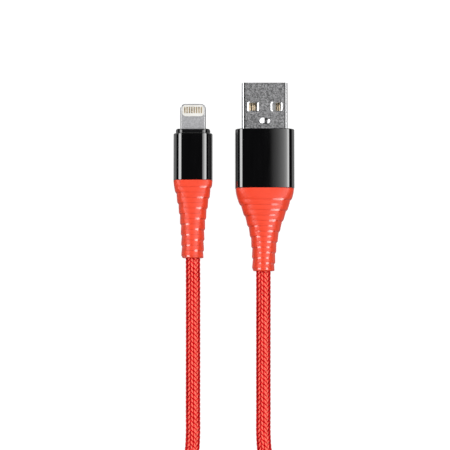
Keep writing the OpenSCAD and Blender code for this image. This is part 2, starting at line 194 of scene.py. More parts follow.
class Nodes:
    """Adds nodes to a shader tree. An input's value is a constant or another node's output."""

    def __init__(self, tree):
        self.tree = tree

    def add(self, kind, inputs=None, **settings):
        made = self.tree.nodes.new("ShaderNode" + kind)
        for key, value in settings.items():
            setattr(made, key, value)
        for key, value in (inputs or {}).items():
            self.feed(made.inputs[key], value)
        return made

    def feed(self, socket, value):
        if isinstance(value, bpy.types.NodeSocket):
            self.tree.links.new(value, socket)
        else:
            socket.default_value = value

    def math(self, operation, *values):
        made = self.add("Math", operation=operation)
        for socket, value in zip(made.inputs, values):
            self.feed(socket, value)
        return made.outputs[0]

    def noise(self, vector, scale, detail, stretch=(1, 1, 1)):
        """Noise with features about 1 / scale metres across."""
        spread = self.add("VectorMath", {0: vector, 1: stretch}, operation="MULTIPLY")
        made = self.add("TexNoise", {"Vector": spread.outputs[0], "Scale": scale, "Detail": detail})
        return made.outputs["Fac"]

    def ramp(self, value, low, high, start=0.0, end=1.0):
        """Runs from start, where the value is low, to end, where it is high, and stays level beyond."""
        made = self.add("MapRange", {0: value, 1: low, 2: high, 3: start, 4: end})
        return made.outputs[0]

    def mix(self, factor, first, second):
        made = self.add("Mix", data_type="RGBA")
        self.feed(made.inputs["Factor"], factor)
        for socket, colour in zip((made.inputs[6], made.inputs[7]), (first, second)):
            self.feed(socket, (*colour, 1.0) if isinstance(colour, tuple) else colour)
        return made.outputs[2]

    def object_space(self):
        return self.add("TexCoord").outputs["Object"]

    def bump(self, height, distance, strength=1.0, normal=None):
        made = self.add("Bump", {"Height": height, "Distance": distance, "Strength": strength})
        if normal is not None:
            self.feed(made.inputs["Normal"], normal)
        return made.outputs[0]

    def edges(self, radius):
        """Shading normals that round every edge by a radius in metres."""
        return self.add("Bevel", {"Radius": radius}, samples=8).outputs[0]


class Shader(Nodes):
    """A material under construction. Keyword arguments are the Principled shader's own sockets."""

    def __init__(self, name, **sockets):
        self.material = bpy.data.materials.new(name)
        self.material.use_nodes = True
        super().__init__(self.material.node_tree)
        self.shader = self.tree.nodes["Principled BSDF"]
        for socket, value in sockets.items():
            if isinstance(value, tuple):
                value = (*value, 1.0)
            self.shader.inputs[socket.replace("_", " ")].default_value = value

    def set(self, socket, value):
        self.feed(self.shader.inputs[socket], value)


# Radius in mm that shading gives to edges
EDGE_R = 0.05
# How far roughness drifts on plated metal
ROUGHNESS_SPREAD = 0.08
# Moulded texture: its size in metres and its depth in mm
MOULD_GRAIN, MOULD_DEPTH = 0.0006, 0.004


def metal(name, dark, light, roughness, grain, depth):
    """Plated metal with fine mottling. grain is the size of a mottle in metres, depth is in mm."""
    look = Shader(name, Metallic=1.0)
    where = look.object_space()
    fine = look.noise(where, 1 / grain, 4)
    broad = look.noise(where, 0.12 / grain, 2)
    tone = look.math("MULTIPLY_ADD", look.math("SUBTRACT", broad, 0.5), 0.35, fine)
    look.set("Base Color", look.mix(look.ramp(tone, 0.3, 0.7), dark, light))
    spread = (roughness - ROUGHNESS_SPREAD, roughness + ROUGHNESS_SPREAD)
    look.set("Roughness", look.ramp(fine, 0.3, 0.7, *spread))
    look.set("Normal", look.bump(fine, depth * MM, normal=look.edges(EDGE_R * MM)))
    return look.material


# The USB shell's plating, in mm from its middle line: where the polish begins and is full, the middle
# of the painted dark reflection line along each fold, and that line's outer and inner half-widths
POLISH_FROM, POLISH_FULL, PAINTED_LINE_X = 5.0, 5.25, 5.28
PAINTED_LINE_EDGE, PAINTED_LINE_CORE = 0.24, 0.14


def nickel_material():
    """The USB shell's plating: a fine matt grain on the broad faces, polished towards the folded sides
    and on every pressed or cut edge, with a painted dark reflection line along each fold."""
    look = Shader("usb_nickel", Metallic=1.0)
    where = look.object_space()
    coarse = look.math("MULTIPLY", look.noise(where, 2100, 3), 0.38)
    fine = look.math("MULTIPLY_ADD", look.noise(where, 4300, 4), 0.62, coarse)
    split = look.add("SeparateXYZ", {0: where})
    aside = look.math("ABSOLUTE", look.math("SUBTRACT", split.outputs[0], USB_X * MM))
    facing = look.add("SeparateXYZ", {0: look.add("TexCoord").outputs["Normal"]})
    tilt = look.ramp(look.math("ABSOLUTE", facing.outputs[2]), 0.99, 0.96)
    over = look.math("DIVIDE", look.math("SUBTRACT", split.outputs[0], USB_X * MM), DISH[0] * MM)
    along = look.math("DIVIDE", look.math("SUBTRACT", split.outputs[1], DISH_Y * MM), DISH[1] * MM)
    oval = look.math("MULTIPLY_ADD", over, over, look.math("MULTIPLY", along, along))
    pressed = look.math("MAXIMUM", look.ramp(oval, 1.0, 0.85), tilt)
    polish = look.math("MAXIMUM", look.ramp(aside, POLISH_FROM * MM, POLISH_FULL * MM), pressed)
    grain = look.mix(look.ramp(fine, 0.43, 0.62), (0.12, 0.12, 0.122), (0.55, 0.55, 0.56))
    plating = look.mix(polish, grain, (0.82, 0.82, 0.83))
    # Painted reflection: a thin near-black line in the base colour along each fold stands in for a reflected
    # dark gap
    from_painted_line = look.math("ABSOLUTE", look.math("SUBTRACT", aside, PAINTED_LINE_X * MM))
    painted_dark_line = look.ramp(from_painted_line, PAINTED_LINE_EDGE * MM, PAINTED_LINE_CORE * MM)
    look.set("Base Color", look.mix(painted_dark_line, plating, (0.06, 0.06, 0.063)))
    matt = look.ramp(fine, 0.4, 0.6, 0.33, 0.42)
    look.set("Roughness", look.math("MULTIPLY_ADD", polish, look.math("SUBTRACT", 0.2, matt), matt))
    look.set("Normal", look.bump(fine, 0.003 * MM, look.math("MULTIPLY_ADD", polish, -0.95, 1.0)))
    return look.material


def tip_material():
    """The phone tip's fine satin metal, smoother where its edges turn away from the broad faces."""
    look = Shader("tip_metal", Metallic=1.0)
    where = look.object_space()
    fine = look.noise(where, 2600, 3)
    facing = look.add("SeparateXYZ", {0: look.add("TexCoord").outputs["Normal"]})
    turned = look.ramp(look.math("ABSOLUTE", facing.outputs[2]), 0.98, 0.9)
    satin = look.mix(look.ramp(fine, 0.35, 0.65), (0.39, 0.39, 0.40), (0.53, 0.53, 0.545))
    look.set("Base Color", look.mix(turned, satin, (0.42, 0.42, 0.42)))
    look.set("Roughness", look.ramp(turned, 0.0, 1.0, 0.46, 0.2))
    look.set("Normal", look.bump(fine, 0.0008 * MM))
    return look.material


def plastic(name, colour, shade, roughness, ior=1.5, edge=EDGE_R):
    """Moulded plastic with a slight drift of tone and a fine moulded texture."""
    look = Shader(name, IOR=ior)
    where = look.object_space()
    fine = look.noise(where, 1 / MOULD_GRAIN, 3)
    broad = look.noise(where, 250, 2)
    look.set("Base Color", look.mix(look.ramp(broad, 0.3, 0.7), colour, shade))
    look.set("Roughness", look.ramp(fine, 0.3, 0.7, roughness * 0.85, roughness * 1.15))
    look.set("Normal", look.bump(fine, MOULD_DEPTH * MM, normal=look.edges(edge * MM)))
    return look.material


# ---------------------------------------------------------------- the cord's line

CORD_D = 3.65
# Height of the cord's middle where it lies on the floor, and where it lies on itself
FLOOR_Z = CORD_D / 2
TOP_Z = 2 * CORD_D - FLOOR_Z
USB_X, USB_Z, USB_SEAM, USB_FRONT, USB_EXIT = plug_place("usb")
PHONE_X, PHONE_Z, PHONE_SEAM, PHONE_FRONT, PHONE_EXIT = plug_place("phone")
# How far the cord's mesh reaches into each boot, and how far aside the USB boot leans at its thin end
INSIDE = 3.0
USB_LEAN = -0.38

USB_ROUTE = [
    (USB_X + 0.74 * USB_LEAN, USB_EXIT + INSIDE, USB_Z), (USB_X + USB_LEAN, USB_EXIT, USB_Z),
    (7.67, -29, 3.75), (7.67, -34, 3.4), (7.67, -40, 2.75), (7.67, -46, 2.15), (7.67, -52, FLOOR_Z),
    (7.67, -60, FLOOR_Z), (7.67, -67, FLOOR_Z), (8.1, -72, FLOOR_Z), (9.4, -77, FLOOR_Z),
    (11.2, -82, FLOOR_Z), (12.7, -87, FLOOR_Z),
]
PHONE_ROUTE = [
    (PHONE_X, PHONE_EXIT + INSIDE, PHONE_Z), (PHONE_X, PHONE_EXIT, PHONE_Z), (-10.62, -26, 2.95),
    (-10.61, -31, 2.7), (-10.61, -37, 2.25), (-10.61, -43, 1.9), (-10.61, -50, FLOOR_Z),
    (-10.61, -60, FLOOR_Z), (-10.61, -67, FLOOR_Z), (-11, -72, 1.9), (-12.3, -77, 2.6),
    (-14.1, -82, 3.9), (-15.6, -87, 5.1),
]
# The hank: its middle line, the top of its runs and their length, and how far aside each lane lies at
# its ends and at the waist, where the strap holds it
HANK_X, HANK_TOP, HANK_RUN = -1.45, -93.0, 58.0
OUTER, INNER = 14.7, 11.0
WAIST = {OUTER: 5.55, INNER: 1.85}
STRAP_Y = HANK_TOP - HANK_RUN / 2
STRAP_T, STRAP_W = 0.9, 12.0
# How far from the strap's middle a run begins to rise over its underside, and how long the rise is
LIFT_FROM, LIFT_OVER = 20, 14


def hank_run(lane, z, down):
    """One pass of the hank, drawn in at the waist and lifted over the strap's underside."""
    y = np.linspace(HANK_TOP, HANK_TOP - HANK_RUN, 60)
    waist = WAIST[abs(lane)]
    narrowing = (1 + np.cos(2 * np.pi * (HANK_TOP - y) / HANK_RUN)) / 2
    x = HANK_X + np.sign(lane) * (waist + (abs(lane) - waist) * narrowing)
    lift = STRAP_T * smoothstep((LIFT_FROM - np.abs(y - STRAP_Y)) / LIFT_OVER)
    line = np.stack([x, y, z + lift], -1)
    return line if down else line[::-1]


def hank_turn(start, end, z_start, z_end, top):
    """The half ellipse between two passes, at the top or the bottom of the hank."""
    phi = np.linspace(0, np.pi, 42)[1:-1]
    middle, half = (start + end) / 2, (start - end) / 2
    reach = max(abs(start), abs(end)) * (1 if top else -1)
    y = (HANK_TOP if top else HANK_TOP - HANK_RUN) + reach * np.sin(phi)
    z = z_start + (z_end - z_start) * (1 - np.cos(phi)) / 2
    return np.stack([HANK_X + middle + half * np.cos(phi), y, z], -1)


def cord_line():
    """The cord's centreline from inside one boot, through the hank, to inside the other."""
    passes = [
        (OUTER, FLOOR_Z), (-OUTER, FLOOR_Z), (INNER, FLOOR_Z), (-INNER, FLOOR_Z),
        (INNER, TOP_Z), (-INNER, TOP_Z), (OUTER, TOP_Z), (-OUTER, TOP_Z),
    ]
    hank = []
    for i, (lane, z) in enumerate(passes):
        if i:
            hank.append(hank_turn(passes[i - 1][0], lane, passes[i - 1][1], z, top=i % 2 == 0))
        hank.append(hank_run(lane, z, down=i % 2 == 0))
    hank = np.vstack(hank)
    return catmull(np.vstack([USB_ROUTE, hank, PHONE_ROUTE[::-1]]), per=8)


# ---------------------------------------------------------------- braid

# Columns of floats round the cord, and the length of one float. In the braid's own coordinates, u counts
# columns round the cord and v counts floats along it
COLUMNS = 14
STITCH = 1.21
# Points in a ring, and the distance between rings, in view and out of view
FINE, COARSE = 84, 28
FINE_STEP, COARSE_STEP = 0.2, 0.8
# Depth of the relief, and how far its tops stand over the cord's diameter
BRAID_DEPTH = 0.16
BRAID_OVER = 0.09
# How many float lengths a float climbs across its column, and how many columns the braid is turned by
BRAID_LEAN = 0.75
BRAID_TURN = -3.58
# The turn and the channels' widths and shifts put the widest channels along the cord's edges in view, so that
# their painted shade darkens those edges
# Half-widths of the channels between columns, and how far each lies aside, over four borders in turn
CHANNELS = (0.28, 0.34, 0.1, 0.25)
CHANNEL_SHIFTS = (0.0, 0.16, 0.0, 0.0)
# How soon a channel is at full depth, in the mesh and in the shading
CHANNEL_SLOPE, CHANNEL_SHADING = 0.22, 0.2
# The low columns in every eight, and how low they lie against a channel's floor
SUNK_EVERY, SUNK_COLUMNS, SUNK = 8, (1, 4), 0.66
# The braid is fine down to this y. Towards the phone plug it is turned end for end, with its columns
# counted back from TURNED_U, and LAST_SIDE is where the first frame vector points at that plug
IN_VIEW_Y = -74.0
TURNED_U = 1 / 3
LAST_SIDE = (-1, 0, 0)
# Settles which column takes a point that lies right on a border
NUDGE = 1e-6
# Fibres across one float
FIBRES = 4


def braid_height(around, along):
    """Height of the plait, 0 to 1: columns of slanted floats. Two columns lean one way, the next two
    the other. The channels between columns have four widths, and two columns in every eight lie low."""
    column = np.floor(around)
    across = around - column - 0.5
    lean = np.where(column // 2 % 2 == 0, -BRAID_LEAN, BRAID_LEAN)
    phase = along + lean * across + 0.5 * column
    ridge = 0.5 - 0.5 * np.cos(2 * np.pi * phase)
    border = np.floor(around + 0.5)
    kind = border.astype(int) % 4
    away = np.abs(around - border - np.array(CHANNEL_SHIFTS)[kind])
    channel = np.clip((np.array(CHANNELS)[kind] - away) / CHANNEL_SLOPE, 0, 1)
    channel = np.maximum(channel, SUNK * np.isin(column % SUNK_EVERY, SUNK_COLUMNS))
    return (0.35 + 0.65 * ridge) * (1 - 0.6 * channel)


def tube_parts(total, fine_from, fine_to):
    """The places of a tube's rings along its line, and the points in a ring, for each part of it."""
    if fine_from is None:
        return [(np.linspace(0, total, int(total / COARSE_STEP) + 2), COARSE)]
    return [
        (np.arange(0, fine_from, FINE_STEP), FINE),
        (np.arange(fine_from, fine_to, COARSE_STEP), COARSE),
        (np.linspace(fine_to, total, int((total - fine_to) / FINE_STEP)), FINE),
    ]


def braided_tube(name, line, fine_from=None, fine_to=None):
    """A tube round a line with the plait in its surface. It is fine over the stretches in view, which
    run from the start to fine_from and from fine_to to the end, or coarse throughout."""
    parts = tube_parts(arc_lengths(line)[-1], fine_from, fine_to)
    stations = np.concatenate([p[0] for p in parts])
    centre = resample(line, stations)
    sides, ups = carried_frames(centre, (1, 0, 0), LAST_SIDE if fine_from is not None else None)
    points, faces, uvs, first, row = [], [], [], 0, 0
    for number, (places, around) in enumerate(parts):
        rows = slice(row, row + len(places))
        u = np.arange(around) * COLUMNS / around
        turn = 2 * np.pi * (u + BRAID_TURN) / COLUMNS
        grid_u, grid_v = np.meshgrid(u, places / STITCH)
        turned = number == 2
        if turned:
            grid_u, grid_v = (TURNED_U - grid_u) % COLUMNS, -grid_v
        if around == FINE:
            height = braid_height(grid_u + (-NUDGE if turned else NUDGE), grid_v)
        else:
            # Out of view the plait is only a rib along each column
            height = 0.55 + 0.3 * np.cos(2 * np.pi * (grid_u - 0.5))
        radius = CORD_D / 2 + BRAID_OVER - BRAID_DEPTH * (1 - height)
        across = sides[rows, None] * np.cos(turn)[:, None] + ups[rows, None] * np.sin(turn)[:, None]
        points.append((centre[rows, None] + across * radius[..., None]).reshape(-1, 3))
        uvs.append(np.stack([grid_u, grid_v], -1).reshape(-1, 2))
        if number:
            faces += bridge(previous, first, parts[number - 1][1], around)
        faces += ring_faces(len(places), around, first)
        row += len(places)
        previous = first + (len(places) - 1) * around
        first += len(places) * around
    faces.append(list(range(parts[0][1])))
    faces.append(list(range(first - parts[-1][1], first)))
    made = new_object(name, np.vstack(points), faces, sharp=75)
    lay_uv(made, np.vstack(uvs))
    return made


def bridge(last, first, around_before, around_after):
    """Triangles that join a ring to the next one when one has three times the points of the other."""
    faces = []
    fine_first = around_before > around_after
    fine, coarse = (last, first) if fine_first else (first, last)
    for k in range(COARSE):
        c0, c1 = coarse + k, coarse + (k + 1) % COARSE
        f = [fine + (3 * k + step) % FINE for step in range(4)]
        faces += [[c0, f[0], f[1]], [c0, f[1], c1], [c1, f[1], f[2]], [c1, f[2], f[3]]]
    return faces


def lay_uv(obj, uvs):
    """Copies a value per point to the UV map. At the seam the last column runs on to COLUMNS."""
    mesh = obj.data
    corner_points = np.zeros(len(mesh.loops), int)
    mesh.loops.foreach_get("vertex_index", corner_points)
    corners = uvs[corner_points]
    starts = np.zeros(len(mesh.polygons), int)
    totals = np.zeros(len(mesh.polygons), int)
    mesh.polygons.foreach_get("loop_start", starts)
    mesh.polygons.foreach_get("loop_total", totals)
    for start, total in zip(starts[totals <= 4], totals[totals <= 4]):
        u = corners[start : start + total, 0]
        if u.max() - u.min() > COLUMNS / 2:
            u[u < COLUMNS / 2] += COLUMNS
    layer = mesh.uv_layers.new(name="braid")
    layer.data.foreach_set("uv", corners.astype(np.float32).ravel())


def braid_material():
    """Red plaited yarn: the mesh's own floats, channels and low columns, with fibres along each float.
    Its colour holds painted shade between floats, in the channels and on the low columns, and painted
    light on the float tops.
    """
    look = Shader("red_braid", Specular_IOR_Level=0.03)
    uv = look.add("UVMap", uv_map="braid").outputs[0]
    split = look.add("SeparateXYZ", {0: uv})
    u, v = split.outputs[0], split.outputs[1]
    column = look.math("FLOOR", u)
    across = look.math("SUBTRACT", look.math("SUBTRACT", u, column), 0.5)
    lean = look.math("FLOOR", look.math("MULTIPLY", look.math("MODULO", column, 4), 0.5))
    lean = look.math("MULTIPLY_ADD", lean, 2 * BRAID_LEAN, -BRAID_LEAN)
    along = look.math("MULTIPLY_ADD", column, 0.5, look.math("MULTIPLY_ADD", lean, across, v))
    phase = look.math("FRACT", along)
    from_top = look.math("ABSOLUTE", look.math("MULTIPLY_ADD", phase, 2, -1))
    ridge = look.math("SUBTRACT", 1, look.math("POWER", from_top, 2.3))
    border = look.math("FLOOR", look.math("ADD", u, 0.5))
    kind = look.math("MODULO", border, 4)
    width, middle = 0, border
    for k, (half, shift) in enumerate(zip(CHANNELS, CHANNEL_SHIFTS)):
        this_kind = look.math("COMPARE", kind, k, 0.1)
        width = look.math("MULTIPLY_ADD", this_kind, half, width)
        middle = look.math("MULTIPLY_ADD", this_kind, shift, middle)
    away = look.math("ABSOLUTE", look.math("SUBTRACT", u, middle))
    channel = look.ramp(look.math("SUBTRACT", width, away), 0.0, CHANNEL_SHADING)
    for low in SUNK_COLUMNS:
        sunk = look.math("COMPARE", look.math("MODULO", column, SUNK_EVERY), low, 0.1)
        channel = look.math("MAXIMUM", channel, look.math("MULTIPLY", sunk, SUNK))
    height = look.math("MULTIPLY", ridge, look.math("MULTIPLY_ADD", channel, -0.8, 1))
    strands = look.math("SINE", look.math("MULTIPLY", phase, 2 * math.pi * FIBRES))
    float_number = look.add("CombineXYZ", {0: column, 1: look.math("FLOOR", along)}).outputs[0]
    own = look.add("TexWhiteNoise", {"Vector": float_number}).outputs["Value"]
    own = look.math("MULTIPLY_ADD", own, 0.18, -0.09)
    level = look.math("ADD", look.math("MULTIPLY_ADD", strands, 0.02, height), own)
    # Painted shade and light: deep red where the plait is low, between floats, in the channels and on the low
    # columns, light coral on the float tops
    tone = look.mix(look.ramp(level, 0.08, 0.52), (0.36, 0.0, 0.002), (0.97, 0.024, 0.026))
    tone = look.mix(look.ramp(level, 0.5, 0.92), tone, (1.0, 0.185, 0.132))
    look.set("Base Color", tone)
    look.set("Roughness", look.ramp(level, 0.2, 1.0, 0.75, 0.45))
    look.set("Normal", look.bump(look.math("MULTIPLY_ADD", strands, 0.05, height), 0.08 * MM, 0.9))
    return look.material


# ---------------------------------------------------------------- rubber boots

# Number of grooves, the distance between them, how deep the rings cut in at the sides and over the
# faces, and a groove's half-width over the faces
GROOVES, PITCH, GROOVE_DEPTH, GROOVE_CUT, VALLEY = 13, 1.38, 0.3, 0.06, 0.34
# The sharp nick under each lip, and half the width of the painted shade line in each groove
NICK_DEPTH, NICK, GROOVE_LINE = 0.14, 0.11, 0.1
# Radius of the thin end, and of its rounded rim
BOOT_END_R = 2.95
RIM_R = 0.25
# Points round a boot, distance between its rings, and the closer rings about each groove
BOOT_AROUND, RING_STEP = 120, 0.16
NEAR_GROOVE, NEAR_STEP = 0.36, 0.06
# Room between the cord and the boot's bore
BORE_ROOM = 0.03


def boot_inset(behind, cosine, first, shine_reach):
    """How far the surface steps in at a distance behind the seam, for the cosines round the axis, how
    far into a groove it is, and how polished it is there. At the sides each ring flares back to a lip
    at the next groove. Over the faces the grooves are shallow, and each is polished from its own side
    to shine_reach past the middle."""
    period = 2 * PITCH
    inset, groove, shine = np.zeros((3, len(cosine)))
    for side, start in ((1, first), (-1, first + PITCH)):
        gone = behind - start
        if not -0.5 < gone < (GROOVES + 0.3) * PITCH:
            continue
        over = np.clip((side * cosine + 0.85) / 0.3, 0, 1)
        beside = smoothstep((side * cosine - 0.5) / 0.45)
        past = gone % period
        off = abs(gone - round(gone / period) * period)
        cup = GROOVE_DEPTH * (1 - past / period) * float(smoothstep(past / 0.25)) if gone > 0 else 0.0
        nick = NICK_DEPTH * math.exp(-((off / NICK) ** 2))
        valley = math.exp(-((off / VALLEY) ** 2))
        inset = np.maximum(inset, beside * (cup + nick) + over * GROOVE_CUT * valley)
        # The groove mark says where the rubber's colour is darkened: painted shade along each groove
        groove = np.maximum(groove, over * math.exp(-((off / GROOVE_LINE) ** 2)))
        face = smoothstep((0.9 - np.abs(cosine)) / 0.25) * smoothstep((np.abs(cosine) - 0.1) / 0.12)
        face *= np.clip((side * cosine + shine_reach) / 0.3, 0, 1)
        face *= np.where(cosine < 0, float(smoothstep((behind - 6) / 5)) * 0.85, 1.0)
        shine = np.maximum(shine, face * valley)
    return inset, groove, shine


def lean_at(lean, share):
    """How far a boot's middle has leaned aside at a share of its length."""
    return lean * np.clip(share, 0, 1) ** 2


def boot_stations(length, first):
    """The places of a boot's rings behind its seam: evenly spaced, and closer about each groove."""
    stations = set(np.round(np.arange(0.1, length - RIM_R, RING_STEP), 3))
    for i in range(GROOVES):
        middle = first + i * PITCH
        near = np.round(middle + np.arange(-NEAR_GROOVE, NEAR_GROOVE + 0.01, NEAR_STEP), 3)
        stations = {place for place in stations if abs(place - middle) > NEAR_GROOVE} | set(near)
    return [0.0, 0.04] + sorted(place for place in stations if 0.05 < place < length - RIM_R)


def boot(name, place, length, half_w, half_t, flare_len, flare_power, first, shine_reach, lean):
    """A grooved boot: flared and flat-sided at the seam, round where the cord comes out. Its width runs
    from half_w to BOOT_END_R over about flare_len, and its first groove is at first."""
    theta = np.arange(BOOT_AROUND) * 2 * np.pi / BOOT_AROUND
    cosine, sine = np.cos(theta), np.sin(theta)
    rings, marks = [], []

    def ring(x, y, z):
        rings.append(np.stack([place[0] + lean_at(lean, y / length) + x, np.full(BOOT_AROUND, place[1] - y),
                               place[2] + z], -1))

    def outline(behind, y, shrink):
        left = math.exp(-((behind / flare_len) ** flare_power))
        power = 2 / (2 + 0.7 * left + 1.3 * math.exp(-((behind / 2.2) ** 2)))
        inset, groove, shine = boot_inset(behind, cosine, first, shine_reach)
        radius_x = BOOT_END_R + (half_w - BOOT_END_R) * left - (inset + shrink)
        radius_z = BOOT_END_R + (half_t - BOOT_END_R) * left - (inset + shrink)
        ring(np.sign(cosine) * np.abs(cosine) ** power * radius_x, y,
             np.sign(sine) * np.abs(sine) ** power * radius_z)
        marks.append((groove, shine))

    for behind in boot_stations(length, first):
        outline(behind, behind, 0.05 if behind == 0 else 0.0)
    for turn in np.linspace(0, np.pi / 2, 6):
        outline(length - RIM_R, length - RIM_R + RIM_R * math.sin(turn), RIM_R * (1 - math.cos(turn)))
    bore = CORD_D / 2 + BORE_ROOM
    for y, radius in ((length, bore + 0.15), (length - 0.15, bore), (length / 2, bore), (0, bore)):
        ring(radius * cosine, y, radius * sine)
        marks.append(np.zeros((2, BOOT_AROUND)))
    made = loft(name, rings, wrap=True, sharp=60)
    # The groove attribute carries the grooves' painted shade, the shine attribute their polish
    for mark, values in zip(("groove", "shine"), np.concatenate(np.array(marks), axis=1)):
        layer = made.data.attributes.new(mark, "FLOAT", "POINT")
        layer.data.foreach_set("value", values.astype(np.float32))
    return made


def rubber_material():
    """Matt moulded rubber with painted shade darkening the grooves, and a coat that glints where they are
    polished.
    """
    look = Shader("coral_rubber", IOR=1.45, Coat_IOR=2.05, Coat_Roughness=0.17)
    where = look.object_space()
    groove = look.add("Attribute", attribute_name="groove").outputs["Fac"]
    shine = look.add("Attribute", attribute_name="shine").outputs["Fac"]
    fine = look.noise(where, 5500, 3)
    broad = look.noise(where, 350, 3)
    open_face = look.mix(look.ramp(broad, 0.3, 0.7), (0.86, 0.060, 0.023), (0.90, 0.070, 0.028))
    # Painted shade: the base colour darkens along each groove
    look.set("Base Color", look.mix(look.ramp(groove, 0.25, 0.9, 0.0, 0.85), open_face, (0.66, 0.034, 0.012)))
    look.set("Roughness", look.ramp(fine, 0.3, 0.7, 0.3, 0.38))
    look.set("Coat Weight", look.ramp(shine, 0.42, 0.72))
    look.set("Normal", look.bump(fine, 0.004 * MM))
    return look.material


# ---------------------------------------------------------------- housings, shell and contacts


def crowned_outline(half_w, half_t, r, crown, shrink):
    """Points round the axis, from half-sizes, a corner radius, and how far the broad faces arch. shrink
    steps the whole outline in."""
    half_w, half_t, r = half_w - shrink, half_t - shrink, r - shrink
    flat = half_w - r
    lean = math.atan(2 * crown / flat)
    reach = flat + r * math.sin(lean)
    centre_z = half_t - crown - r * math.cos(lean)
    top = np.linspace(-reach, reach, 25)[1:-1]
    turn = np.linspace(lean, np.pi / 2, 15)
    corner = np.stack([flat + r * np.sin(turn), centre_z + r * np.cos(turn)], -1)
    face = np.stack([top, half_t - crown * (top / reach) ** 2], -1)
    upper = np.vstack([corner[::-1], face[::-1], corner * (-1, 1)])
    return np.vstack([upper, -upper])


# How far a sleeve's inner edges step back from its ends, and the depth of the ring inside its mouth
LIP, MOUTH_DEPTH = 0.02, 0.6


def sleeve(name, place, outer, inner, y_rear, y_front, round_front, round_rear):
    """A hollow body along Y between an outer and an inner outline, each (half_w, half_t, r, crown). Its
    outer edges are rounded at both ends."""
    rings = []

    def ring(shape, shrink, y):
        flat = crowned_outline(*shape, shrink=shrink)
        rings.append(np.stack([place[0] + flat[:, 0], np.full(len(flat), y), place[1] + flat[:, 1]], -1))

    for turn in np.linspace(np.pi / 2, 0, 7):
        ring(outer, round_rear * (1 - math.cos(turn)), y_rear + round_rear * (1 - math.sin(turn)))
    for t in np.linspace(0, 1, 8)[1:-1]:
        ring(outer, 0, y_rear + round_rear + t * (y_front - y_rear - round_rear - round_front))
    for turn in np.linspace(0, np.pi / 2, 9):
        ring(outer, round_front * (1 - math.cos(turn)), y_front - round_front * (1 - math.sin(turn)))
    for y in (y_front - LIP, y_front - MOUTH_DEPTH, y_rear + LIP):
        ring(inner, 0.0, y)
    return loft(name, rings, wrap=True, sharp=35)


SHELL_W, SHELL_T, SHELL_WALL = 12.0, 4.5, 0.3
SHELL_TOP = USB_Z + SHELL_T / 2
# The windows: place aside, width, length, distance from the tip, width of the pressed rim, corner radius
WINDOW_X, WINDOW_W, WINDOW_L, WINDOW_BACK, WINDOW_RIM, WINDOW_R = 3.05, 2.4, 2.05, 6.3, 0.28, 0.3
# The oval hollow: half-sizes, place, depth, and the power of its slope
DISH, DISH_Y, DISH_DEPTH, DISH_POWER = (1.3, 0.86), 14.5, 0.27, 1.7
DISH_AROUND = 64


def rounded_rectangle(half_w, half_l, r, per=7):
    """Points round a rectangle with round corners."""
    points = []
    for cx, cy, start in ((1, 1, 0), (-1, 1, 90), (-1, -1, 180), (1, -1, 270)):
        for p in np.radians(start) + np.linspace(0, np.pi / 2, per):
            points.append((cx * (half_w - r) + r * math.cos(p), cy * (half_l - r) + r * math.sin(p)))
    return np.array(points)


def window_cutter(x, y):
    """Cuts a window through both faces, with a pressed slope round its edge."""
    upper = [(0.1, 0.55), (0.0, WINDOW_RIM), (-0.1, 0.0)]
    lower = [(-SHELL_T - z, grow) for z, grow in reversed(upper)]
    rings = []
    for z, grow in upper + lower:
        flat = rounded_rectangle(WINDOW_W / 2 + grow, WINDOW_L / 2 + grow, WINDOW_R + grow)
        rings.append(np.column_stack([x + flat[:, 0], y + flat[:, 1], np.full(len(flat), SHELL_TOP + z)]))
    return loft("window_cutter", rings)


def dish_cutter():
    """Presses the shallow oval hollow into the top face."""
    turn = np.arange(DISH_AROUND) * 2 * np.pi / DISH_AROUND
    rings = []
    for t in (1.25, 1.0, 0.9, 0.8, 0.7, 0.6, 0.5, 0.4, 0.3, 0.2, 0.1, 0.02):
        x = USB_X + DISH[0] * t * np.cos(turn)
        y = DISH_Y + DISH[1] * t * np.sin(turn)
        z = DISH_DEPTH * (t**DISH_POWER - 1) if t <= 1 else 0.15
        rings.append(np.column_stack([x, y, np.full(DISH_AROUND, SHELL_TOP + z)]))
    return loft("dish_cutter", rings)


def cut(made, cutters, sharp):
    """Subtracts cutters from a mesh and keeps only the result."""
    for cutter in cutters:
        hole = made.modifiers.new("hole", "BOOLEAN")
        hole.operation, hole.solver, hole.object = "DIFFERENCE", "EXACT", cutter
    evaluated = made.evaluated_get(bpy.context.evaluated_depsgraph_get())
    mesh = bpy.data.meshes.new_from_object(evaluated)
    made.modifiers.clear()
    made.data = mesh
    for cutter in cutters:
        bpy.data.objects.remove(cutter)
    mesh.shade_smooth()
    mesh.set_sharp_from_angle(angle=math.radians(sharp))


# A spring contact: points across, the length of the dip at its tip, the dip's depth, the ribs' height
CONTACT_ACROSS, TIP_LENGTH, TIP_DIP, RIB_HEIGHT = 33, 1.1, 0.12, 0.1


def formed_contact(name, node):
    """A spring contact: two rolled ribs with a groove between, dipping at its tip."""
    (x0, y0, z0), (x1, y1, z1) = box_mm(node)
    across = np.linspace(-1, 1, CONTACT_ACROSS)
    half = (x1 - x0) / 2
    ribs = np.abs(np.cos(1.5 * np.pi * np.clip(across * 0.72 + 0.12, -0.8, 0.8)))
    rings = []
    for y in list(np.linspace(y0, y1 - TIP_LENGTH - 0.1, 12)) + list(np.linspace(y1 - TIP_LENGTH, y1, 9)):
        dip = TIP_DIP * smoothstep((y - y1 + TIP_LENGTH) / TIP_LENGTH)
        top = z1 - RIB_HEIGHT * (1 - ribs) - dip
        top[[0, -1]] -= RIB_HEIGHT / 2
        upper = np.column_stack([(x0 + x1) / 2 + across * half, np.full(CONTACT_ACROSS, y), top])
        lower = upper[::-1] * (1, 1, 0) + (0, 0, z0)
        rings.append(np.vstack([upper, lower]))
    return loft(name, rings, sharp=50)


